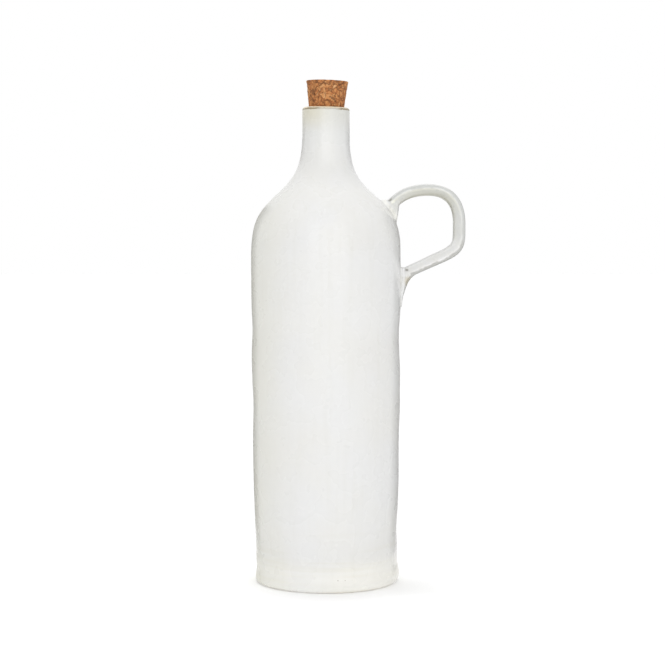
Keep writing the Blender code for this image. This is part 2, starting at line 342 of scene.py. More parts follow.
outer_points = [*base_line(), *OUTSIDE, *lip_outer_line()[1:]]
inner_points = [*lip_inner_line(), *inside_line()]
pot = draw_chain("stoneware_body", [*outer_points, *inner_points])
remember(pot, "made_height", [point.z for point in (*outer_points, *inner_points)])
remember(pot, "inner_face", [0.0] * len(outer_points) + [1.0] * len(inner_points))
edit_all(pot)
bpy.ops.mesh.spin(steps=TURNS, angle=math.tau, center=(0.0, 0.0, 0.0), axis=(0.0, 0.0, 1.0))
leave()
close_seams(pot)
report(pot)

# %% [markdown]
# ## Marks of the hands
#
# A thrown pot is never quite round. The hands that lift it press its sides, the foot settles a little off
# the axis, the groove over the foot runs down on one side, and the lip dries out of level. Proportional
# editing does the same: one vertex or one ring is moved, and the clay round it follows.

# %% Dents by the hands
# the angle round the pot in degrees, then the height, the push outwards and its reach in millimetres
DENTS = [
    (0, 250, -0.95, 26),
    (0, 209, -0.42, 14),
    (0, 155, -0.38, 24),
    (0, 112, 0.28, 14),
    (0, 86, -0.33, 24),
    (0, 37, -0.45, 13),
    (180, 272, 0.30, 14),
    (180, 256, 0.40, 20),
    (180, 229, 0.38, 14),
    (180, 148, 0.50, 18),
    (180, 114, -0.50, 20),
    (60, 60, -0.40, 35),
    (90, 120, -0.50, 40),
    (115, 185, -0.45, 30),
    (255, 95, -0.30, 35),
    (290, 225, -0.30, 25),
]


def turn_by(angle, centre, **softness):
    """Turns the selection about the Y axis through a point, from +X towards +Z."""
    bpy.ops.transform.rotate(value=angle, orient_axis="Y", center_override=centre, **softness)


def soft(reach):
    """The settings that let the surroundings follow a move."""
    return {"use_proportional_edit": True, "proportional_edit_falloff": "SMOOTH", "proportional_size": reach}


def push(thing, spot, by, reach):
    """Moves the vertex nearest to a spot, and its surroundings less and less."""
    nearest = min(thing.data.vertices, key=lambda vertex: (vertex.co - spot).length).co.copy()
    pick_vertices(thing, lambda co: co == nearest)
    bpy.ops.transform.translate(value=by, **soft(reach))
    leave()


for degrees, height, outwards, reach in DENTS:
    angle = math.radians(degrees)
    direction = Vector((math.cos(angle), math.sin(angle), 0.0))
    spot = direction * wall_radius(height * MM) + place(0.0, height * MM)
    push(pot, spot, direction * outwards * MM, reach * MM)
print("pot:", len(DENTS), "presses of the hands")

# %% Foot, groove and lip out of true
FOOT_TOP = 8 * MM
FOOT_SHIFT = 0.65 * MM
FOOT_REACH = 30 * MM
GROOVE_LOW = 6 * MM
GROOVE_HIGH = 14 * MM
GROOVE_MIDDLE = 10 * MM
GROOVE_RADIUS = 44 * MM
GROOVE_TILT = math.radians(2.0)
GROOVE_REACH = 7 * MM
LIP_DEPTH = 2 * MM
LIP_LIFT = 0.45 * MM
LIP_TILT = math.radians(-1.2)
LIP_REACH = 9 * MM

pick_vertices(pot, lambda co: co.z < FOOT_TOP)
bpy.ops.transform.translate(value=(FOOT_SHIFT, 0.0, 0.0), **soft(FOOT_REACH))
pick_vertices(pot, lambda co: GROOVE_LOW < co.z < GROOVE_HIGH and co.xy.length > GROOVE_RADIUS)
turn_by(GROOVE_TILT, place(0.0, GROOVE_MIDDLE), **soft(GROOVE_REACH))
pick_vertices(pot, lambda co: co.z > BOTTLE_HEIGHT - LIP_DEPTH)
bpy.ops.transform.translate(value=(0.0, 0.0, LIP_LIFT), **soft(LIP_REACH))
turn_by(LIP_TILT, place(0.0, BOTTLE_HEIGHT), **soft(LIP_REACH))
leave()
print("lip:", round(max(vertex.co.z for vertex in pot.data.vertices) / MM, 2), "mm at its highest place")
report(pot)

# %% [markdown]
# ## Two copies for the fitting
#
# The handle has to meet this pot and no ideal one. So the outside of the dented pot is copied twice: one
# copy stands a hair under the surface and gives the handle's clay something to blend into, and the other
# one cuts the wall away again. The mouth is closed in both, so that each is a solid.

# %% Copy the outside
UNDER_WALL = 0.12 * MM
CUTTER_SINK = 0.02 * MM


def outside_copy(name, sink):
    """The pot's outside alone, closed over the mouth and moved in by a little."""
    take(pot)
    bpy.ops.object.duplicate()
    solid = name_active(name)
    edit(solid)
    leave()
    inner = solid.data.attributes["inner_face"].data
    for vertex in solid.data.vertices:
        vertex.select = inner[vertex.index].value > 0.5
    bpy.ops.object.mode_set(mode="EDIT")
    bpy.ops.mesh.delete(type="VERT")
    bpy.ops.mesh.select_non_manifold()
    bpy.ops.mesh.edge_face_add()
    bpy.ops.mesh.select_all(action="SELECT")
    bpy.ops.transform.shrink_fatten(value=-sink)
    leave()
    report(solid)
    return solid


wall_slice = outside_copy("wall_slice", UNDER_WALL)
wall_cutter = outside_copy("wall_cutter", CUTTER_SINK)

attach(pot, "bottle")
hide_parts("bottle_body")

# %% [markdown]
# ## The handle's path
#
# A handle is pulled from a lump of clay into a strap, pressed on the shoulder, bent over two fingers and
# pressed on the belly. Its middle line leaves the shoulder steeply, bends over a crown and down a grip, turns
# sharply at the elbow and comes back almost straight. Each bend is one Bezier stretch between two places.

# %% The middle line of the strap
ROOT_UP = 30.1 * MM
CROWN_OUT = 17.0 * MM
CROWN_UP = 41.3 * MM
GRIP_OUT = 36.8 * MM
GRIP_UP = 20.0 * MM
ELBOW_OUT = 24.8 * MM
ELBOW_UP = -1.3 * MM
ROOT_ANGLE = math.radians(49.0)
ARM_ANGLE = math.radians(24.6)
CROWN_FULLNESS = 0.41
GRIP_FULLNESS = 0.46
ELBOW_FULLNESS = 0.57
SEAT_DEPTH = 3.0 * MM
BEND_STEPS = 16
ELBOW_STEPS = 12
ARM_STEPS = 10
DOWN = place(0.0, -1.0)


def bend(first, leaving, last, arriving, fullness, steps):
    """A curve between two points with given directions. A larger fullness makes it squarer."""
    reach = fullness * (last - first).length
    return interpolate_bezier(first, first + reach * leaving, last - reach * arriving, last, steps + 1)


def at_shoulder(out, up):
    """A point measured out from the belly's side and up from the shoulder's lower end."""
    return place(BELLY_RADIUS + out, SHOULDER_FOOT + up)


def root_direction():
    return place(math.cos(ROOT_ANGLE), math.sin(ROOT_ANGLE))


def root_point(reach):
    """The middle of the strap's start, at a distance from the wall along its direction."""
    height = SHOULDER_FOOT + ROOT_UP
    return place(wall_radius(height), height) + reach * root_direction()


def arm_point(out):
    """The middle of the lower arm, at a distance out from the belly's side."""
    return at_shoulder(out, ELBOW_UP - (ELBOW_OUT - out) * math.tan(ARM_ANGLE))


def strap_line():
    falling = place(-math.cos(ARM_ANGLE), -math.sin(ARM_ANGLE))
    level = place(1.0, 0.0)
    crown = at_shoulder(CROWN_OUT, CROWN_UP)
    grip = at_shoulder(GRIP_OUT, GRIP_UP)
    elbow = arm_point(ELBOW_OUT)
    over = bend(root_point(-SEAT_DEPTH), root_direction(), crown, level, CROWN_FULLNESS, BEND_STEPS)
    side = bend(crown, level, grip, DOWN, GRIP_FULLNESS, BEND_STEPS)
    turn = bend(grip, DOWN, elbow, falling, ELBOW_FULLNESS, ELBOW_STEPS)
    arm = [elbow.lerp(arm_point(-SEAT_DEPTH), i / ARM_STEPS) for i in range(1, ARM_STEPS + 1)]
    return [*over, *side[1:], *turn[1:], *arm]


path = strap_line()
run = sum((after - here).length for here, after in zip(path, path[1:]))
print("strap:", round(run / MM, 1), "mm along its middle line")

# %% [markdown]
# ## Pull the strap
#
# A pulled strap isn't round. The thumb runs along its outer face and the fingers along the inner one, so its
# widest place, a soft ridge, lies nearer the outside of the loop. A circle is flattened to that section: its
# faces are widened and its sides are drawn outwards. Then the end face is extruded, turned and scaled from
# ring to ring, as the clay is drawn out.

# %% Draw the section
SECTION_CORNERS = 12
SECTION_EDGE = 0.4
FACE_WIDENING = 1.25
RIDGE_SHARE = 0.17


def direction_angle(line, i):
    """The direction of the line at a point, as an angle above +X."""
    along = line[min(i + 1, len(line) - 1)] - line[max(i - 1, 0)]
    return math.atan2(along.z, along.x)


def draw_section(name, point, angle, width, thickness):
    """The first ring, filled. While it is flat, +X is the outer side of the loop."""
    deselect_objects()
    bpy.ops.mesh.primitive_circle_add(vertices=SECTION_CORNERS, radius=1.0, fill_type="NGON", location=point)
    section = name_active(name)
    bpy.ops.object.transform_apply(location=True)
    edit_all(section)
    bpy.ops.transform.resize(value=(thickness / 2.0, width / 2.0, 1.0), center_override=point)
    pick_vertices(section, lambda co: abs(co.x - point.x) > SECTION_EDGE * thickness)
    bpy.ops.transform.resize(value=(1.0, FACE_WIDENING, 1.0), center_override=point)
    pick_vertices(section, lambda co: abs(co.y - point.y) > SECTION_EDGE * width)
    bpy.ops.transform.translate(value=(RIDGE_SHARE * thickness, 0.0, 0.0))
    bpy.ops.mesh.select_all(action="SELECT")
    turn_by(angle + math.pi / 2.0, point)
    leave()
    return section


# %% Sweep it along a line


def eased(values, share):
    """The value at a share of the way along evenly placed values, easing from each to the next."""
    spot = share * (len(values) - 1)
    low = min(int(spot), len(values) - 2)
    rest = spot - low
    return values[low] + (values[low + 1] - values[low]) * rest * rest * (3.0 - 2.0 * rest)


def sweep(name, line, widths, thicknesses):
    """Extrudes the section along a line, turning and scaling each new ring about its own middle."""
    last = len(line) - 1
    strap = draw_section(name, line[0], direction_angle(line, 0), widths[0], thicknesses[0])
    edit_all(strap, "FACE")
    for i in range(last):
        here, after = line[i], line[i + 1]
        bpy.ops.mesh.extrude_region_move(TRANSFORM_OT_translate={"value": after - here})
        turn_by(direction_angle(line, i + 1) - direction_angle(line, i), after)
        wider = eased(widths, (i + 1) / last) / eased(widths, i / last)
        thicker = eased(thicknesses, (i + 1) / last) / eased(thicknesses, i / last)
        bpy.ops.transform.resize(value=(thicker, wider, thicker), center_override=after)
    leave()
    close_seams(strap)
    report(strap)
    return strap


# %% Draw the strap out
STRAP_WIDTH = 14.0 * MM
ROOT_WIDTH = 17.0 * MM
STRAP_THICKNESSES = [7.4 * MM, 7.6 * MM, 8.1 * MM, 7.2 * MM]

strap_widths = [ROOT_WIDTH, STRAP_WIDTH, STRAP_WIDTH, STRAP_WIDTH]
strap = sweep("handle_strap", strap_line(), strap_widths, STRAP_THICKNESSES)

# %% [markdown]
# ## Press the strap on
#
# A strap alone doesn't hold. The potter scores both places, wets them, presses a wad of clay on the wall and
# smears the strap's ends down over it with a thumb. The smears are short straps of their own. The upper wad
# is a ball flattened along the shoulder, and the lower one is a pad whose top stands off as a small ledge.

# %% Smears
TAIL_WIDTHS = [STRAP_WIDTH, 17.0 * MM, 9.0 * MM]
TAIL_THICKNESSES = [6.6 * MM, 5.6 * MM, 3.6 * MM]
UPPER_TAIL_REACH = 6.2 * MM
UPPER_TAIL_TIP_UP = 20.7 * MM
UPPER_TAIL_TIP_SINK = 1.4 * MM
UPPER_TAIL_FULLNESS = 0.30
LOWER_TAIL_OUT = 8.2 * MM
LOWER_TAIL_BEND = 2.5 * MM
LOWER_TAIL_DROP = 20.0 * MM
LOWER_TAIL_TIP_SINK = 1.0 * MM
LOWER_TAIL_TURN = 0.75
LOWER_TAIL_CLING = 0.2


def on_wall(height, sink=0.0):
    return place(wall_radius(height) - sink, height)


def upper_tail_line():
    """From inside the strap's start down the shoulder."""
    tip = on_wall(SHOULDER_FOOT + UPPER_TAIL_TIP_UP, UPPER_TAIL_TIP_SINK)
    return bend(root_point(UPPER_TAIL_REACH), DOWN, tip, DOWN, UPPER_TAIL_FULLNESS, 14)


def lower_tail_line():
    """From inside the arm, round the corner under it and down the belly."""
    start = arm_point(LOWER_TAIL_OUT)
    corner = on_wall(arm_point(0.0).z - LOWER_TAIL_BEND)
    tip = on_wall(arm_point(0.0).z - LOWER_TAIL_DROP, LOWER_TAIL_TIP_SINK)
    turning = start.lerp(corner, LOWER_TAIL_TURN)
    clinging = corner.lerp(tip, LOWER_TAIL_CLING)
    return interpolate_bezier(start, turning, clinging, tip, 17)


upper_tail = sweep("upper_tail", upper_tail_line(), TAIL_WIDTHS, TAIL_THICKNESSES)
lower_tail = sweep("lower_tail", lower_tail_line(), TAIL_WIDTHS, TAIL_THICKNESSES)

# %% Wads
WAD_RISE = 1.0 * MM
WAD_LENGTH = 10.0 * MM
WAD_WIDTH = 21.0 * MM
WAD_THICKNESS = 3.0 * MM
PAD_TOP = 200.6 * MM
PAD_LOW = 178.0 * MM
PAD_STEPS = 12
PAD_WIDTHS = [17 * MM, 19 * MM, 10 * MM]
PAD_THICKNESSES = [6.2 * MM, 5.6 * MM, 1.5 * MM]


def press_wad(name, height, length, width, thickness):
    """A ball flattened on the wall, lying along the wall's slope."""
    rise = length / 2.0
    run = wall_radius(height + rise / 2.0) - wall_radius(height - rise / 2.0)
    centre = on_wall(height)
    deselect_objects()
    bpy.ops.mesh.primitive_uv_sphere_add(segments=48, ring_count=24, radius=1.0, location=centre)
    wad = name_active(name)
    bpy.ops.object.transform_apply(location=True)
    edit_all(wad)
    bpy.ops.transform.resize(value=(thickness, width / 2.0, length / 2.0), center_override=centre)
    turn_by(-math.atan2(run, rise), centre)
    leave()
    report(wad)
    return wad


wad_height = SHOULDER_FOOT + ROOT_UP + WAD_RISE
upper_wad = press_wad("upper_wad", wad_height, WAD_LENGTH, WAD_WIDTH, WAD_THICKNESS)
pad_line = [on_wall(PAD_TOP + (PAD_LOW - PAD_TOP) * i / PAD_STEPS) for i in range(PAD_STEPS + 1)]
lower_pad = sweep("lower_pad", pad_line, PAD_WIDTHS, PAD_THICKNESSES)

# %% [markdown]
# ## Work the joints smooth
#
# Overlapping lumps look like lumps. Remeshed as voxels together with a slice of the wall they become one
# skin, and smoothing that skin gives the soft fillets that a wet sponge leaves. The sponge works longest on
# the upper joint. Cutting by the real wall then frees the handle with its fillets. One small fold stays
# where the arm was pressed down on its ledge.

# %% Fuse the lumps with a slice of the wall
VOXEL = 0.42 * MM
SLICE_LOW = 165 * MM
SLICE_HIGH = 262 * MM
SLICE_INNER = 12 * MM


def keep_slice(thing, low, high, inner):
    """Cuts a box out of the solid by bisecting, and closes each cut."""
    for point, normal in ((low, (0, 0, 1)), (high, (0, 0, -1)), (inner, (1, 0, 0))):
        edit_all(thing)
        bpy.ops.mesh.bisect(plane_co=point, plane_no=normal, use_fill=True, clear_inner=True)
    leave()


keep_slice(wall_slice, place(0.0, SLICE_LOW), place(0.0, SLICE_HIGH), place(SLICE_INNER, 0.0))
take(strap)
for lump in (upper_tail, lower_tail, upper_wad, lower_pad, wall_slice):
    lump.select_set(True)
bpy.ops.object.join()
handle = name_active("pulled_handle")
apply(handle, "REMESH", mode="VOXEL", voxel_size=VOXEL)
report(handle)

# %% Smooth it and cut it to the wall
SMOOTHINGS = 14
JOINT_LOW = 226 * MM
JOINT_REACH = 8.0 * MM
JOINT_SMOOTHINGS = 60
FOLD = Vector((51.3 * MM, -7.4 * MM, 199.4 * MM))
FOLD_DEPTH = 1.3 * MM
FOLD_REACH = 1.7 * MM


def off_wall(co):
    """How far a place stands off the turned wall."""
    return co.xy.length - wall_radius(co.z)


apply(handle, "SMOOTH", factor=0.5, iterations=SMOOTHINGS)
pick_vertices(handle, lambda co: co.z > JOINT_LOW and off_wall(co) < JOINT_REACH)
bpy.ops.object.vertex_group_add()
bpy.ops.object.vertex_group_assign()
leave()
joint = handle.vertex_groups.active.name
apply(handle, "SMOOTH", factor=0.5, iterations=JOINT_SMOOTHINGS, vertex_group=joint)
push(handle, FOLD, Vector((0.0, FOLD_DEPTH, 0.0)), FOLD_REACH)
apply(handle, "BOOLEAN", operation="DIFFERENCE", solver="MANIFOLD", object=wall_cutter)
bpy.data.objects.remove(wall_cutter)
report(handle)

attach(handle, "bottle")
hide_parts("handle")

# %% [markdown]
# ## Where light and shade are painted on the handle
#
# Faces that look down and towards the wall are painted in shade, and so is the strap's upturned outer band.
# The soft ridge across the strap gets a painted highlight, and the corner by the wall painted shade. So three
# numbers are read from the mesh and stored for the finish: how far each place looks down and towards the
# wall, how far out it lies across the strap, and how far it stands off the wall.

# %% Read the handle's faces
# faces that look this way, down and towards the wall, are painted in shade
SHADE_FACING_DIRECTION = Vector((-0.3, 0.0, -0.95))
TAIL_THICKNESS = 6.0 * MM
TAIL_HIDDEN_POINTS = 4


def strap_stations():
    """Points along the strap and on down the lower smear: place, outward direction and half thickness."""
    stations = []
    tail = lower_tail_line()[TAIL_HIDDEN_POINTS:]
    for points, thicknesses in ((strap_line(), STRAP_THICKNESSES), (tail, [TAIL_THICKNESS, TAIL_THICKNESS])):
        for i, point in enumerate(points):
            angle = direction_angle(points, i)
            half = eased(thicknesses, i / (len(points) - 1)) / 2.0
            stations.append((point, place(-math.sin(angle), math.cos(angle)), half))
    return stations


def across_strap(thing, stations):
    """For each vertex, how far it lies towards the loop's outside, in shares of half the thickness."""
    tree = KDTree(len(stations))
    for i, station in enumerate(stations):
        tree.insert(station[0], i)
    tree.balance()
    lifts = []
    for vertex in thing.data.vertices:
        flat = place(vertex.co.x, vertex.co.z)
        point, outwards, half = stations[tree.find(flat)[1]]
        lifts.append(max(-1.0, min(1.0, (flat - point).dot(outwards) / half)))
    return lifts


# how far each vertex looks down and towards the wall, the side that is painted in shade
remember(handle, "shade_facing", [vertex.normal.dot(SHADE_FACING_DIRECTION) for vertex in handle.data.vertices])
remember(handle, "strap_lift", across_strap(handle, strap_stations()))
remember(handle, "wall_gap", [off_wall(vertex.co) for vertex in handle.data.vertices])
print("handle: three measures stored on", len(handle.data.vertices), "vertices")

# %% [markdown]
# ## The cork
#
# The stopper is pressed from cork granules and ground to a taper. It starts as a cone with its point cut
# off. Its rims are bevelled, as they wear first, and an even remesh then divides it finely enough for real
# dents. A cone is the right start, because the taper is what makes the cork grip.

# %% Cut the cork
CORK_TOP_RADIUS = 13.35 * MM
CORK_BOTTOM_RADIUS = 9.25 * MM
CORK_LENGTH = 29.6 * MM
CORK_LEAN = math.radians(1.8)
RELIEF_ROOM = 0.10 * MM
CORK_TOP = CORK_HIGH.z - CORK_TOP_RADIUS * math.sin(CORK_LEAN) - RELIEF_ROOM
RIM_WEAR = 0.5 * MM
CORK_ASIDE = 0.25 * MM
CORK_VOXEL = 0.3 * MM

deselect_objects()
bpy.ops.mesh.primitive_cone_add(
    vertices=96,
    radius1=CORK_BOTTOM_RADIUS,
    radius2=CORK_TOP_RADIUS,
    depth=CORK_LENGTH,
    location=(CORK_ASIDE, 0.0, CORK_TOP - CORK_LENGTH / 2.0),
)
cork = name_active("pressed_cork")
bpy.ops.object.transform_apply(location=True)
edit(cork, "FACE")
leave()
for face in cork.data.polygons:
    face.select = abs(face.normal.z) > 0.9
bpy.ops.object.mode_set(mode="EDIT")
bpy.ops.mesh.bevel(offset=RIM_WEAR, segments=4)
leave()
apply(cork, "REMESH", mode="VOXEL", voxel_size=CORK_VOXEL)
report(cork)

# %% [markdown]
# ## Granules, pits and cracks
#
# Each granule is a cell of a Voronoi pattern. A wandering noise bends the cells, so that they look torn and
# not cut. Its seed is fixed, so that the cork comes out the same each time. The joints between the granules
# sink in, here and there a granule has fallen out and left a pit, and a few cracks run across. All are
# stored on the mesh, so that the relief and the colour agree. The top is ground flat, so the relief fades
# out towards it.

# %% Press the granules
GRANULE = 3.1 * MM
GRANULE_WANDER = 1.1
PATTERN_SHIFT = Vector((11.0, 4.0, 7.0))
TONE_SALT = 7.3
WANDER_SEED = 2
JOINT_WIDTH = 0.24
PIT_SIZE = 2.4 * MM
PIT_RANGE = (0.34, 0.56)
CRACK_SIZE = 9.0 * MM
CRACK_WIDTH = 0.035
CRACK_SHIFT = Vector((3.1, 8.4, 1.7))


def smooth_share(value, low, high):
    """0 at low, 1 at high, and smooth in between."""
    share = max(0.0, min(1.0, (value - low) / (high - low)))
    return share * share * (3.0 - 2.0 * share)


def granule_at(point):
    """The granule's tone, how near its edge is, and the shares of pit and crack at a point."""
    cell = point / GRANULE + PATTERN_SHIFT
    cell += GRANULE_WANDER * noise.noise_vector(cell * 0.9)
    distances, centres = noise.voronoi(cell)
    tone = noise.cell(centres[0] * TONE_SALT)
    joint = smooth_share(distances[1] - distances[0], JOINT_WIDTH, 0.0)
    pit = smooth_share(noise.noise(point / PIT_SIZE), *PIT_RANGE)
    line = abs(noise.fractal(point / CRACK_SIZE + CRACK_SHIFT, 0.8, 2.0, 3))
    crack = smooth_share(line, CRACK_WIDTH, 0.0) * smooth_share(noise.noise(point / CRACK_SIZE), 0.0, 0.2)
    return tone, joint, pit, crack


noise.seed_set(WANDER_SEED)
print("one granule's tone:", round(granule_at(place(0.0, CORK_TOP))[0], 2))

# %% Press them into the cork
LIFT = 0.20 * MM
JOINT_DEPTH = 0.16 * MM
PIT_DEPTH = 0.40 * MM
CRACK_DEPTH = 0.40 * MM
GROUND_SHARE = 0.25
GROUND_REACH = 2.2 * MM

granules = [granule_at(vertex.co) for vertex in cork.data.vertices]
outwards = [vertex.normal.copy() for vertex in cork.data.vertices]
for i, name in enumerate(("granule_tone", "granule_joint", "pit", "crack")):
    remember(cork, name, [granule[i] for granule in granules])
for vertex, (tone, joint, pit, crack), outward in zip(cork.data.vertices, granules, outwards):
    sunk = JOINT_DEPTH * joint + PIT_DEPTH * pit + CRACK_DEPTH * crack
    rough = GROUND_SHARE + (1.0 - GROUND_SHARE) * smooth_share(CORK_TOP - vertex.co.z, 0.0, GROUND_REACH)
    vertex.co += outward * rough * (LIFT * tone - sunk)
report(cork)

# %% [markdown]
# ## Push it in
#
# A cork that is pushed in by hand stands a little askew. It is turned about its seat in the lip, and that is
# the whole of its fitting: it is a piece of its own, and it is drawn straight up to open the bottle.

# %% Lean the cork
edit_all(cork)
turn_by(-CORK_LEAN, place(0.0, BOTTLE_HEIGHT - LIP_INNER_ROUND))
leave()
report(cork)

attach(cork, "cork")
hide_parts("cork_stopper")

# %% [markdown]
# ## Smooth shading
#
# Clay under glaze has no sharp edge, and the cork's torn edges are real relief by now. So all three pieces
# are shaded smooth.

# %% Shade
for piece in (pot, handle, cork):
    take(piece)
    bpy.ops.object.shade_smooth()
print("shaded smooth:", pot.name, handle.name, cork.name)

# %% [markdown]
# ## Hands for the finishes
#
# A finish is a tree of nodes. These helpers each add a node and join it, and the recipes below then read
# like a list of what the glaze does from place to place. Patterns are laid out by the place on the piece
# itself, so they stay on it when it moves.

# %% Helpers for nodes


def new_finish(name, piece):
    """A material with one Principled shader, as the piece's only finish."""
    finish = bpy.data.materials.new(name)
    finish.use_nodes = True
    piece.data.materials.clear()
    piece.data.materials.append(finish)
    return finish.node_tree, finish.node_tree.nodes["Principled BSDF"]


def feed(tree, socket, source):
    """Gives an input a constant, or joins it to another node's output."""
    if isinstance(source, bpy.types.NodeSocket):
        tree.links.new(source, socket)
    else:
        socket.default_value = source


def math_node(tree, operation, first, second):
    step = tree.nodes.new("ShaderNodeMath")
    step.operation = operation
    feed(tree, step.inputs[0], first)
    feed(tree, step.inputs[1], second)
    return step.outputs[0]


def all_of(tree, share, *others):
    """The product of shares, which is 1 only where each of them is 1."""
    for other in others:
        share = math_node(tree, "MULTIPLY", share, other)
    return share


def ramp(tree, value, low, high, to_low=0.0, to_high=1.0):
    """One value at low, another at high, and smooth in between. Low may be the larger one."""
    step = tree.nodes.new("ShaderNodeMapRange")
    step.interpolation_type = "SMOOTHSTEP"
    feed(tree, step.inputs["Value"], value)
    step.inputs["From Min"].default_value = low
    step.inputs["From Max"].default_value = high
    step.inputs["To Min"].default_value = to_low
    step.inputs["To Max"].default_value = to_high
    return step.outputs["Result"]


def band(tree, value, low, high, softness):
    """1 between low and high, fading out over the softness on both sides."""
    above = ramp(tree, value, low - softness, low)
    below = ramp(tree, value, high + softness, high)
    return all_of(tree, above, below)


def coat(tree, share, under, over, mode="MIX"):
    """One colour over another, by a share."""
    step = tree.nodes.new("ShaderNodeMix")
    step.data_type = "RGBA"
    step.blend_type = mode
    feed(tree, step.inputs[0], share)
    feed(tree, step.inputs[6], under)
    feed(tree, step.inputs[7], over)
    return step.outputs[2]


def tinted(tree, colour, *tints):
    """A colour multiplied by one tint after another, each by its own share."""
    for share, tint in tints:
        colour = coat(tree, share, colour, tint, "MULTIPLY")
    return colour


# %% Helpers for patterns


def object_place(tree, stretch=(1.0, 1.0, 1.0)):
    """The place on the piece in metres. A smaller stretch draws a pattern out along that axis."""
    coordinates = tree.nodes.new("ShaderNodeTexCoord")
    mapping = tree.nodes.new("ShaderNodeMapping")
    mapping.inputs["Scale"].default_value = stretch
    tree.links.new(coordinates.outputs["Object"], mapping.inputs["Vector"])
    return mapping.outputs["Vector"]


def noise_of(tree, where, feature, detail=2.0):
    """A noise whose features are about that long."""
    cloud = tree.nodes.new("ShaderNodeTexNoise")
    cloud.inputs["Scale"].default_value = 1.0 / feature
    cloud.inputs["Detail"].default_value = detail
    tree.links.new(where, cloud.inputs["Vector"])
    return cloud.outputs["Fac"]


def split(tree, where):
    parts = tree.nodes.new("ShaderNodeSeparateXYZ")
    tree.links.new(where, parts.inputs[0])
    return parts.outputs


def remembered(tree, name):
    """A number that was stored on the mesh."""
    stored = tree.nodes.new("ShaderNodeAttribute")
    stored.attribute_name = name
    return stored.outputs["Fac"]


def spot_at(tree, where, centre, radius):
    """1 in the middle of a small round spot, 0 outside it."""
    gap = tree.nodes.new("ShaderNodeVectorMath")
    gap.operation = "DISTANCE"
    feed(tree, gap.inputs[0], where)
    gap.inputs[1].default_value = centre
    return ramp(tree, gap.outputs["Value"], radius, 0.4 * radius)


def relief(tree, shader, *layers):
    """Bumps stacked on each other. Each layer is a pattern and its depth."""
    below = None
    for pattern, depth in layers:
        bump = tree.nodes.new("ShaderNodeBump")
        bump.inputs["Distance"].default_value = depth
        tree.links.new(pattern, bump.inputs["Height"])
        if below:
            tree.links.new(below, bump.inputs["Normal"])
        below = bump.outputs["Normal"]
    tree.links.new(below, shader.inputs["Normal"])


# %% [markdown]
# ## White glaze on the pot
#
# A white tin glaze lies thick on the belly and thin at the edges. Where it is thin the clay shows through,
# so the neck is a little yellow. The foot is painted lighter and a little warmer, as light bounced up from
# the floor would make it, more so on its right, and its left edge is painted darker, as shade. The glaze
# runs down a little as it melts, which leaves faint streaks, and over the foot the throwing rings show. Iron
# in the clay comes through as a few specks. Each of these is a tint that is laid over the white by a share
# from 0 to 1.

# %% Glaze on the pot
WHITE = (0.815, 0.817, 0.812, 1.0)
WARM_WHITE = (0.815, 0.812, 0.790, 1.0)
RUN_TINT = (0.98, 0.98, 0.972, 1.0)
RING_TINT = (0.97, 0.965, 0.94, 1.0)
# painted light: the foot lighter and a little warmer, as floor bounce would make it, more so on its right
FOOT_PAINTED_BOUNCE_LIGHT = (1.16, 1.15, 1.11, 1.0)
SIDE_TINT = (0.985, 0.985, 0.935, 1.0)
# painted shade: the foot's left edge darker
FOOT_EDGE_PAINTED_SHADE = (0.82, 0.81, 0.77, 1.0)
NECK_TINT = (0.90, 0.905, 0.885, 1.0)
LIP_TINT = (0.98, 0.940, 0.82, 1.0)

tree, shader = new_finish("white_glaze_on_the_pot", pot)
where = object_place(tree)
height = remembered(tree, "made_height")
aside = split(tree, where)["X"]
drift = noise_of(tree, where, 45 * MM)
runs = noise_of(tree, object_place(tree, (1.0, 1.0, 0.07)), 4 * MM)
rings = noise_of(tree, object_place(tree, (0.04, 0.04, 1.0)), 3 * MM)

low_rings = all_of(tree, ramp(tree, rings, 0.45, 0.7), ramp(tree, height, 50 * MM, 15 * MM))
# where the foot's painted bounce light and the painted shade at its left edge lie
foot = all_of(tree, ramp(tree, height, 24 * MM, 7 * MM), ramp(tree, aside, 0.0, 25 * MM, 0.7, 1.0))
foot_edge_shade = all_of(tree, ramp(tree, aside, -37 * MM, -46 * MM), ramp(tree, height, 34 * MM, 16 * MM))
yellow = all_of(tree, ramp(tree, height, 284 * MM, 298 * MM), ramp(tree, aside, 5 * MM, -10 * MM, 0.25, 1.0))
colour = tinted(
    tree,
    coat(tree, ramp(tree, drift, 0.35, 0.65), WHITE, WARM_WHITE),
    (ramp(tree, runs, 0.45, 0.75), RUN_TINT),
    (low_rings, RING_TINT),
    (foot, FOOT_PAINTED_BOUNCE_LIGHT),
    (ramp(tree, aside, -18 * MM, -46 * MM), SIDE_TINT),
    (foot_edge_shade, FOOT_EDGE_PAINTED_SHADE),
    (ramp(tree, height, 272 * MM, 300 * MM), NECK_TINT),
    (yellow, LIP_TINT),
)
print("pot's coat:", len(tree.nodes), "nodes")

# %% Iron specks
IRON_BROWN = (0.20, 0.13, 0.07, 1.0)
SPECK_RADIUS = 0.45 * MM
SPECKS = [
    (7.4, -44.8, 8.4), (11.8, -43.9, 8.4), (16.1, -42.5, 8.4),
    (-24.0, 38.5, 31.0), (-41.0, 22.0, 118.0),
]

for speck in SPECKS:
    colour = coat(tree, spot_at(tree, where, Vector(speck) * MM, SPECK_RADIUS), colour, IRON_BROWN)
print("specks:", len(SPECKS))

# %% [markdown]
# ## The worn lip and the bare base
#
# Glaze creeps away from a sharp edge as it melts, so the lip's crest is cream and a brown line runs along
# it, broken where it wore off at the front. The line wanders, so a noise is added to the height that it is
# read from. The base is wiped clean before the firing, so that it doesn't stick to the kiln's shelf: it is
# bare buff clay, quite matt and a little gritty.

# %% The lip's edge
LIP_CREAM = (0.88, 0.76, 0.56, 1.0)
LIP_BROWN = (0.30, 0.245, 0.145, 1.0)
LIP_MIDDLE = Vector((2.0, -16.5, 300.0)) * MM
LIP_WEAR_RADIUS = 11 * MM

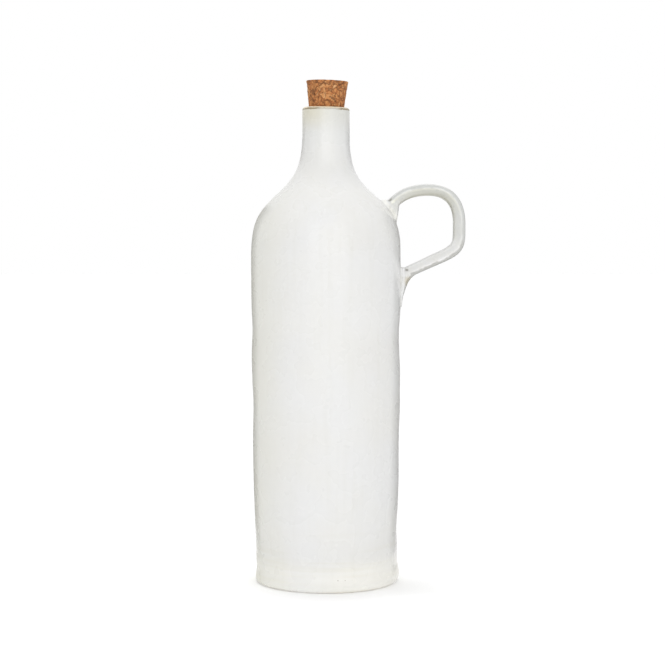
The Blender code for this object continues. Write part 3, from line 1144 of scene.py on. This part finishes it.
wander = noise_of(tree, where, 2.5 * MM)
lip_height = math_node(tree, "ADD", height, ramp(tree, wander, 0.3, 0.7, -0.25 * MM, 0.25 * MM))
line = band(tree, lip_height, 299.2 * MM, 300.0 * MM, 0.30 * MM)
broken = ramp(tree, wander, 0.75, 0.55, 0.2, 0.95)
worn = ramp(tree, spot_at(tree, where, LIP_MIDDLE, LIP_WEAR_RADIUS), 0.0, 1.0, 1.0, 0.4)
colour = coat(tree, ramp(tree, lip_height, 300.0 * MM, 300.4 * MM), colour, LIP_CREAM)
colour = coat(tree, all_of(tree, line, broken, worn), colour, LIP_BROWN)
print("with the lip:", len(tree.nodes), "nodes")

# %% The bare base, gloss and relief
BUFF_CLAY = (0.52, 0.42, 0.30, 1.0)

clay_height = math_node(tree, "ADD", height, ramp(tree, wander, 0.3, 0.7, 0.0, 0.2 * MM))
bare = ramp(tree, clay_height, 0.40 * MM, 0.20 * MM)
grog = noise_of(tree, where, 0.8 * MM, 4.0)
clay = coat(tree, ramp(tree, grog, 0.4, 0.7), BUFF_CLAY, WARM_WHITE, "MULTIPLY")
gloss = ramp(tree, noise_of(tree, where, 12 * MM), 0.3, 0.7, 0.25, 0.31)
matt = ramp(tree, bare, 0.0, 1.0, 0.0, 0.9)
feed(tree, shader.inputs["Base Color"], coat(tree, bare, colour, clay))
feed(tree, shader.inputs["Roughness"], math_node(tree, "MAXIMUM", gloss, matt))
shader.inputs["Specular IOR Level"].default_value = 0.5
relief(
    tree,
    shader,
    (noise_of(tree, where, 9 * MM), 0.02 * MM),
    (noise_of(tree, where, 1.4 * MM), 0.002 * MM),
    (all_of(tree, grog, bare), 0.06 * MM),
)
print("pot's glaze:", len(tree.nodes), "nodes")

# %% [markdown]
# ## The same glaze on the handle
#
# The handle is the same clay under the same glaze, and most of its tints are painted light and shade. The
# loop is painted greyer, its upturned outer band darker, its inner face, which looks down, darker and olive,
# and its inner edge darker still. The soft ridge gets a painted highlight and the arm's upper face painted
# light. The arm's underside is painted darker, as shade and as thin glaze at its edge, the pad at the upper
# joint gets a painted highlight, and the seam where the strap meets the wall painted shade. The three
# numbers on the mesh and the height say where each of these places is.

# %% Places on the handle
tree, shader = new_finish("white_glaze_and_painted_light_on_the_handle", handle)
where = object_place(tree)
wander = noise_of(tree, where, 5 * MM)
lift = math_node(tree, "ADD", remembered(tree, "strap_lift"), ramp(tree, wander, 0.3, 0.7, -0.12, 0.12))
gap = remembered(tree, "wall_gap")
facing_shade = remembered(tree, "shade_facing")
level = split(tree, where)["Z"]

on_strap = ramp(tree, gap, 2.8 * MM, 5.5 * MM)
low = ramp(tree, level, 222 * MM, 213 * MM)
loop = all_of(tree, on_strap, ramp(tree, level, 213 * MM, 222 * MM))
outer = all_of(tree, ramp(tree, lift, 0.30, 0.55), ramp(tree, facing_shade, -0.92, -0.55), loop)
inner = all_of(tree, ramp(tree, facing_shade, 0.02, 0.70), loop)
edge = all_of(tree, ramp(tree, lift, -0.38, -0.65), inner)
crest = band(tree, lift, 0.12, 0.22, 0.14)
ridge = all_of(tree, crest, on_strap, ramp(tree, level, 228 * MM, 243 * MM, 0.2, 1.0))
above = all_of(tree, ramp(tree, lift, -0.30, -0.85), on_strap, low)
under = all_of(tree, ramp(tree, lift, 0.26, 0.58), ramp(tree, gap, 0.8 * MM, 2.2 * MM), low)
pad = all_of(tree, band(tree, gap, 1.2 * MM, 2.4 * MM, 0.8 * MM), ramp(tree, level, 215 * MM, 230 * MM))
seam = ramp(tree, gap, 0.7 * MM, 0.1 * MM)
print("places on the handle:", len(tree.nodes), "nodes")

# %% Tints of the handle
# painted shade: the loop of the strap greyer
LOOP_PAINTED_SHADE = (0.87, 0.875, 0.86, 1.0)
# painted shade: the loop's upturned outer band
OUTER_BAND_PAINTED_SHADE = (0.85, 0.86, 0.86, 1.0)
# painted shade, olive: the loop's inner face that looks down or towards the body
INNER_FACE_PAINTED_SHADE = (0.75, 0.745, 0.68, 1.0)
# painted shade: the loop's inner edge darker still
INNER_EDGE_PAINTED_SHADE = (0.88, 0.87, 0.84, 1.0)
# painted highlight: a lighter streak along the strap's ridge
RIDGE_PAINTED_HIGHLIGHT = (1.12, 1.115, 1.08, 1.0)
# painted light: the arm's upper face lighter
ARM_TOP_PAINTED_LIGHT = (1.10, 1.10, 1.10, 1.0)
# painted shade under the arm, and thin glaze along its lower edge
UNDER_ARM_SHADE_AND_THIN_GLAZE = (0.60, 0.60, 0.58, 1.0)
# painted highlight: a lighter band on the pad at the upper joint
PAD_PAINTED_HIGHLIGHT = (1.09, 1.085, 1.05, 1.0)
# painted shade: the corner where the handle meets the wall
SEAM_PAINTED_SHADE = (0.90, 0.90, 0.88, 1.0)

colour = tinted(
    tree,
    coat(tree, ramp(tree, wander, 0.35, 0.65), WHITE, WARM_WHITE),
    (loop, LOOP_PAINTED_SHADE),
    (outer, OUTER_BAND_PAINTED_SHADE),
    (inner, INNER_FACE_PAINTED_SHADE),
    (edge, INNER_EDGE_PAINTED_SHADE),
    (ridge, RIDGE_PAINTED_HIGHLIGHT),
    (above, ARM_TOP_PAINTED_LIGHT),
    (under, UNDER_ARM_SHADE_AND_THIN_GLAZE),
    (pad, PAD_PAINTED_HIGHLIGHT),
    (seam, SEAM_PAINTED_SHADE),
)
print("handle's coat:", len(tree.nodes), "nodes")

# %% Single spots, gloss and relief
# painted shade under the arm's end, with the brown cast of thin glaze
BROWN_SHADE_TINT = (0.82, 0.77, 0.66, 1.0)
# painted highlight: a small bright spot at the strap's upper root
PAINTED_HIGHLIGHT_TINT = (1.16, 1.16, 1.12, 1.0)
# painted shade: grey in the fold and in the crease at the upper joint
CREASE_PAINTED_SHADE = (0.28, 0.27, 0.245, 1.0)
CREASE_SHARE = 0.8
# each spot is a place and a radius in millimetres
BROWN_SHADE_SPOT = ((52.3, -7.0, 191.8), 4.2)
PAINTED_HIGHLIGHT_SPOT = ((42.2, -8.0, 242.2), 1.9)
CREASE_SPOTS = [((51.1, -5.9, 199.2), 1.4), ((40.0, -7.2, 243.6), 2.1)]


def spot_in_mm(tree, where, spot):
    centre, radius = spot
    return spot_at(tree, where, Vector(centre) * MM, radius * MM)


brown = spot_in_mm(tree, where, BROWN_SHADE_SPOT)
colour = tinted(tree, colour, (brown, BROWN_SHADE_TINT), (spot_in_mm(tree, where, PAINTED_HIGHLIGHT_SPOT), PAINTED_HIGHLIGHT_TINT))
for spot in CREASE_SPOTS:
    crease = ramp(tree, spot_in_mm(tree, where, spot), 0.0, 1.0, 0.0, CREASE_SHARE)
    colour = coat(tree, crease, colour, CREASE_PAINTED_SHADE)
feed(tree, shader.inputs["Base Color"], colour)
feed(tree, shader.inputs["Roughness"], ramp(tree, wander, 0.3, 0.7, 0.26, 0.34))
shader.inputs["Specular IOR Level"].default_value = 0.5
relief(
    tree,
    shader,
    (noise_of(tree, where, 6 * MM), 0.06 * MM),
    (noise_of(tree, where, 1.1 * MM), 0.005 * MM),
)
print("handle's glaze:", len(tree.nodes), "nodes")

# %% [markdown]
# ## Pressed cork
#
# Cork granules are pale or reddish brown, and the bark between them is nearly black. The finish reads the
# tone, the joint, the pit and the crack that were stored with the relief, and only adds a fine grain of its
# own. Cork is quite matt.

# %% Cork
CORK_RED = (0.42, 0.150, 0.050, 1.0)
CORK_TAN = (0.60, 0.265, 0.095, 1.0)
CORK_PALE = (0.72, 0.42, 0.205, 1.0)
BARK = (0.15, 0.065, 0.028, 1.0)

tree, shader = new_finish("pressed_cork_granules", cork)
where = object_place(tree)
tone = remembered(tree, "granule_tone")
grain = noise_of(tree, where, 0.5 * MM, 4.0)
streaks = noise_of(tree, where, 1.5 * MM, 3.0)
own_tone = ramp(tree, tone, 0.0, 1.0, 0.15, 0.70)
mixed = math_node(tree, "ADD", own_tone, ramp(tree, streaks, 0.3, 0.7, -0.35, 0.35))
colour = coat(tree, ramp(tree, mixed, -0.1, 0.50), CORK_RED, CORK_TAN)
colour = coat(tree, ramp(tree, mixed, 0.45, 1.1), colour, CORK_PALE)
colour = coat(tree, ramp(tree, grain, 0.5, 0.8, 0.0, 0.3), colour, CORK_PALE)
colour = coat(tree, ramp(tree, grain, 0.45, 0.2, 0.0, 0.35), colour, BARK)
for name, share in (("granule_joint", 0.70), ("pit", 0.75), ("crack", 0.85)):
    colour = coat(tree, ramp(tree, remembered(tree, name), 0.0, 1.0, 0.0, share), colour, BARK)
feed(tree, shader.inputs["Base Color"], colour)
shader.inputs["Roughness"].default_value = 0.85
shader.inputs["Specular IOR Level"].default_value = 0.25
relief(tree, shader, (grain, 0.10 * MM))
print("cork's finish:", len(tree.nodes), "nodes")

# %% [markdown]
# ## The floor
#
# The bottle stands on a white sheet that is also lit a little from below, as in a light tent. The sheet
# takes its shadow from the pot, and its own glow lifts the rest of it to plain white and lights the foot.
# Seen from below the sheet is clear, so that the base can be looked at.

# %% Floor
FLOOR_SIDE = 16.0
FLOOR_WHITE = (0.92, 0.92, 0.92, 1.0)
FLOOR_GLOW = 0.16
GLOW_SEEN = 0.03


def make_matt(shader, colour):
    shader.inputs["Base Color"].default_value = colour
    shader.inputs["Roughness"].default_value = 1.0
    shader.inputs["Specular IOR Level"].default_value = 0.0


deselect_objects()
bpy.ops.mesh.primitive_plane_add(size=FLOOR_SIDE)
floor = name_active("floor")
tree, shader = new_finish("white_paper", floor)
make_matt(shader, FLOOR_WHITE)

# %% The floor's glow


def seen_directly(tree):
    """1 for the camera and for what shows in gloss or through glass, 0 for the light on the object."""
    path = tree.nodes.new("ShaderNodeLightPath").outputs
    mirrored = math_node(tree, "MAXIMUM", path["Is Glossy Ray"], path["Is Transmission Ray"])
    return math_node(tree, "MAXIMUM", path["Is Camera Ray"], mirrored)


glow = tree.nodes.new("ShaderNodeEmission")
lit = tree.nodes.new("ShaderNodeAddShader")
clear = tree.nodes.new("ShaderNodeBsdfTransparent")
sides = tree.nodes.new("ShaderNodeMixShader")
glow_level = ramp(tree, seen_directly(tree), 0.0, 1.0, FLOOR_GLOW, FLOOR_GLOW + GLOW_SEEN)
feed(tree, glow.inputs["Strength"], glow_level)
feed(tree, lit.inputs[0], shader.outputs[0])
feed(tree, lit.inputs[1], glow.outputs[0])
feed(tree, sides.inputs[0], tree.nodes.new("ShaderNodeNewGeometry").outputs["Backfacing"])
feed(tree, sides.inputs[1], lit.outputs[0])
feed(tree, sides.inputs[2], clear.outputs[0])
feed(tree, tree.nodes["Material Output"].inputs["Surface"], sides.outputs[0])
print("floor:", FLOOR_SIDE, "m square")

# %% [markdown]
# ## The sky of the studio
#
# Around the pot all is white, as in a light tent. What the camera and the gloss see is plain white, and the
# light that falls on the pot is set to half of it, so that white glaze keeps its tone under it.

# %% World
SKY_LEVEL = 0.50

world = bpy.data.worlds.new("studio")
bpy.context.scene.world = world
world.use_nodes = True
tree = world.node_tree
light = tree.nodes["Background"]
light.inputs["Color"].default_value = (1.0, 1.0, 1.0, 1.0)
light.inputs["Strength"].default_value = SKY_LEVEL
white = tree.nodes.new("ShaderNodeBackground")
white.inputs["Color"].default_value = (1.0, 1.0, 1.0, 1.0)
either = tree.nodes.new("ShaderNodeMixShader")
feed(tree, either.inputs[0], seen_directly(tree))
feed(tree, either.inputs[1], light.outputs[0])
feed(tree, either.inputs[2], white.outputs[0])
feed(tree, tree.nodes["World Output"].inputs["Surface"], either.outputs[0])
print("sky:", SKY_LEVEL, "on the object, 1 behind it")

# %% [markdown]
# ## One softbox and one light overhead
#
# A wide softbox behind the camera models the round form: it makes the middle of the belly a little brighter
# than its sides. It is so large that its surface is hardly brighter than the white around it, so it leaves
# no hot spot in the gloss. The second light comes from far overhead, a little from behind and from the left,
# and it is wide, so that only a thing close to the floor throws a shadow that can be seen. The upright wall
# hardly catches it, but the floor and the handle's upper faces do. The pot keeps it off a narrow strip of
# floor at its front and right, and that is the soft shadow by the foot.

# %% Lamps
BOX_AT = Vector((0.15, -2.0, 0.85))
BOX_AIM = Vector((0.0, 0.0, 0.15))
BOX_SIZE = (2.4, 1.5)
BOX_POWER = 14.4
OVERHEAD_STRENGTH = 1.25
OVERHEAD_SPREAD = math.radians(16.0)
OVERHEAD_FROM = Vector((-0.02, 0.095, 1.0))


def hang_lamp(name, kind, at, towards):
    deselect_objects()
    bpy.ops.object.light_add(type=kind, location=at)
    lamp = name_active(name)
    lamp.rotation_euler = (towards - at).to_track_quat("-Z", "Y").to_euler()
    lamp.visible_camera = False
    return lamp


box = hang_lamp("front_softbox", "AREA", BOX_AT, BOX_AIM)
box.data.shape = "RECTANGLE"
box.data.size, box.data.size_y = BOX_SIZE
box.data.energy = BOX_POWER
overhead = hang_lamp("overhead_light", "SUN", OVERHEAD_FROM, Vector((0.0, 0.0, 0.0)))
overhead.data.energy = OVERHEAD_STRENGTH
overhead.data.angle = OVERHEAD_SPREAD
overhead.visible_glossy = False
print("softbox:", BOX_SIZE, "m, overhead light:", round(math.degrees(OVERHEAD_SPREAD)), "degrees wide")

# %% [markdown]
# ## Dark cards
#
# A white pot before a white ground loses its edge. Two dark cards beside and behind it give the edge back:
# they show only in the gloss, where it is seen at a slant, and draw a soft dark line down both sides. They
# are no higher than the lip, so the sloping shoulder mirrors the white above them and stays bright. They
# keep no light from the pot and throw no shadow.

# %% Cards
CARD_NEAR = {-1.0: (0.110, 0.052), 1.0: (0.110, 0.032)}
CARD_FAR = (0.120, 0.40)
CARD_HEIGHT = 0.30
CARD_TONES = {-1.0: (0.15, 0.14, 0.115, 1.0), 1.0: (0.09, 0.09, 0.086, 1.0)}


def dark_card(name, side):
    near = Vector((side * CARD_NEAR[side][0], CARD_NEAR[side][1], 0.0))
    far = Vector((side * CARD_FAR[0], CARD_FAR[1], 0.0))
    run = far - near
    deselect_objects()
    bpy.ops.mesh.primitive_plane_add(
        size=1.0,
        location=(near + far) / 2.0 + place(0.0, CARD_HEIGHT / 2.0),
        rotation=(math.pi / 2.0, 0.0, math.atan2(run.y, run.x)),
    )
    card = name_active(name)
    card.scale = (run.length, CARD_HEIGHT, 1.0)
    card.visible_camera = False
    card.visible_diffuse = False
    card.visible_shadow = False
    card.visible_transmission = False
    tree, shader = new_finish(name, card)
    make_matt(shader, CARD_TONES[side])
    return card


for name, side in (("card_left", -1.0), ("card_right", 1.0)):
    card = dark_card(name, side)
    print(card.name, "stands at x =", round(card.location.x, 2), "m")

# %% [markdown]
# ## The camera
#
# The camera stands a good metre away, level with the lower shoulder, and is tipped down by three degrees.
# So it looks slightly up at the lip, whose front edge hides the cork's seat, and down on the foot, whose
# front edge curves. The lens is given by the number of pixels that one radian takes in the picture.

# %% Camera
PHOTO_SIDE = 665.0
FOCAL_PIXELS = 1778.0
SENSOR = 36.0
CAMERA_AT = (0.00407, -1.13, 0.22435)
CAMERA_TIP = math.radians(3.3049)

deselect_objects()
bpy.ops.object.camera_add(location=CAMERA_AT, rotation=(math.pi / 2.0 - CAMERA_TIP, 0.0, 0.0))
camera = name_active("camera")
camera.data.sensor_width = SENSOR
camera.data.lens = SENSOR * FOCAL_PIXELS / PHOTO_SIDE
bpy.context.scene.camera = camera
bpy.context.scene.view_settings.view_transform = "Standard"
print("camera:", round(camera.data.lens, 1), "mm lens")
